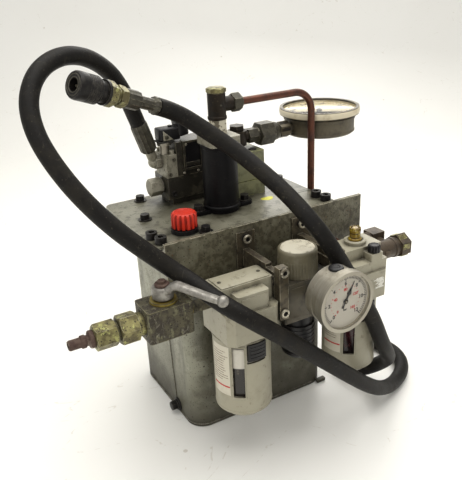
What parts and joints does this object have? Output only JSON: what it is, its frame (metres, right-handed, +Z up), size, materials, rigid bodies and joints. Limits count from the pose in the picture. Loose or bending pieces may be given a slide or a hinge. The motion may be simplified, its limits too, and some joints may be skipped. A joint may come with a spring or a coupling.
{
  "type": "hydraulic power unit",
  "caption": "Air-driven hydraulic power unit: oil tank with pump, valve stack, gauges, filter-regulator-lubricator row, ball valve and a stiff looping hose.",
  "frame": {"origin": "centre of the tank's underside, on the floor", "axes": "+Z up; +X along the air line from inlet to outlet; -Y towards the gauges"},
  "size_m": [0.4638, 0.302, 0.4586],
  "materials": {
    "tank_paint": "worn satin paint",
    "lid_paint": "worn satin paint",
    "black_steel": "black oxide",
    "zinc_steel": "zinc plated, dulled",
    "stainless": "brushed",
    "cast_alloy": "cast, dull",
    "olive_alloy": "corroded",
    "cream_alloy": "painted cream grey",
    "copper_pipe": "tarnished copper",
    "brass_part": "dull",
    "brown_part": "tarnished",
    "rubber_black": "matt",
    "seal_rubber": "matt",
    "red_plastic": "moulded",
    "black_plastic": "moulded",
    "pointer_black": "matt",
    "filter_fibre": "porous"
  },
  "bodies": {
    "power_unit": {"air_gauge": "stainless", "air_pipe": "copper_pipe", "ball_valve_body": "olive_alloy", "banjo_bolt": "black_steel", "banjo_eye": "black_steel", "barrel_head": "cast_alloy", "coil_connector": "black_plastic", "coupler_body": "black_steel", "coupler_tail": "black_steel", "filler_neck": "black_plastic", "filter_body": "cream_alloy", "filter_element": "filter_fibre", "flange_bolts": "black_steel", "front_plate": "tank_paint", "gauge_union": "zinc_steel", "hose": "rubber_black", "hose_ferrule": "black_steel", "hose_fitting": "black_steel", "inlet_plug": "zinc_steel", "inlet_union": "zinc_steel", "lid_gasket": "seal_rubber", "lid_plate": "lid_paint", "lubricator_body": "cream_alloy", "manifold_plug": "zinc_steel", "outlet_tee": "brown_part", "port_block": "cast_alloy", "pressure_block": "olive_alloy", "pressure_gauge": "olive_alloy", "pump_barrel": "black_steel", "regulator_body": "cream_alloy", "regulator_tail": "black_plastic", "return_pipe": "copper_pipe", "return_union": "zinc_steel", "riser_hex": "zinc_steel", "sight_dome": "brass_part", "socket_screws": "black_steel", "solenoid_coil": "stainless", "solenoid_cover": "black_steel", "suction_pipe": "zinc_steel", "t_brackets": "black_steel", "tank": "tank_paint", "tee_body": "black_steel", "tee_nuts": "zinc_steel", "valve_body": "black_steel", "valve_manifold": "olive_alloy"},
    "filler_cap_body": {"filler_cap": "red_plastic"},
    "piston_body": {"pump_piston": "zinc_steel"},
    "pressure_needle": {"pressure_pointer": "pointer_black"},
    "spool_body": {"valve_spool": "zinc_steel"},
    "button_body": {"override_button": "black_plastic"},
    "sleeve_body": {"coupler_sleeve": "black_steel"},
    "lever_body": {"valve_lever": "cast_alloy", "valve_ball": "zinc_steel"},
    "filter_bowl_body": {"filter_bowl": "cream_alloy"},
    "filter_lock_body": {"filter_lock": "black_plastic"},
    "knob_body": {"regulator_knob": "cream_alloy"},
    "air_needle": {"air_pointer": "pointer_black"},
    "lubricator_bowl_body": {"lubricator_bowl": "cream_alloy"},
    "lubricator_lock_body": {"lubricator_lock": "black_plastic"},
    "feed_body": {"feed_knob": "black_plastic"}
  },
  "joints": [
    {"name": "filler_cap_lift", "type": "slide", "parent": "power_unit", "child": "filler_cap_body", "axis": [0, 0, 1], "range_m": [0, 0.022]},
    {"name": "piston_slide", "type": "slide", "parent": "power_unit", "child": "piston_body", "axis": [0, 0, 1], "range_m": [0, 0.05]},
    {"name": "pressure_needle_turn", "type": "hinge", "parent": "power_unit", "child": "pressure_needle", "pos_m": [0.165, 0.024, 0.3424], "axis": [0, 0, 1], "range_deg": [-270, 0]},
    {"name": "spool_slide", "type": "slide", "parent": "power_unit", "child": "spool_body", "axis": [1, 0, 0], "range_m": [-0.004, 0.004]},
    {"name": "button_press", "type": "slide", "parent": "power_unit", "child": "button_body", "axis": [0, 0, -1], "range_m": [0, 0.0015], "stiffness_N_per_m": 800},
    {"name": "sleeve_pull", "type": "slide", "parent": "power_unit", "child": "sleeve_body", "axis": [0.8864, 0.2904, -0.3606], "range_m": [0, 0.006], "stiffness_N_per_m": 1500},
    {"name": "lever_turn", "type": "hinge", "parent": "power_unit", "child": "lever_body", "pos_m": [-0.1455, -0.133, 0.2254], "axis": [0, 0, 1], "range_deg": [-90, 0]},
    {"name": "filter_bowl_drop", "type": "slide", "parent": "power_unit", "child": "filter_bowl_body", "axis": [0, 0, -1], "range_m": [0, 0.026]},
    {"name": "filter_lock_push", "type": "slide", "parent": "filter_bowl_body", "child": "filter_lock_body", "axis": [0, 0, -1], "range_m": [0, 0.004], "stiffness_N_per_m": 400},
    {"name": "regulator_turn", "type": "hinge", "parent": "power_unit", "child": "knob_body", "pos_m": [0.017, -0.133, 0.2073], "axis": [0, 0, 1], "range_deg": [-360, 360]},
    {"name": "air_needle_turn", "type": "hinge", "parent": "power_unit", "child": "air_needle", "pos_m": [0.017, -0.2165, 0.2076], "axis": [0, -1, 0], "range_deg": [-107, 163]},
    {"name": "lubricator_bowl_drop", "type": "slide", "parent": "power_unit", "child": "lubricator_bowl_body", "axis": [0, 0, -1], "range_m": [0, 0.026]},
    {"name": "lubricator_lock_push", "type": "slide", "parent": "lubricator_bowl_body", "child": "lubricator_lock_body", "axis": [0, 0, -1], "range_m": [0, 0.004], "stiffness_N_per_m": 400},
    {"name": "feed_turn", "type": "hinge", "parent": "power_unit", "child": "feed_body", "pos_m": [0.1065, -0.157, 0.2173], "axis": [0, 0, 1], "range_deg": [-180, 180]}
  ]
}
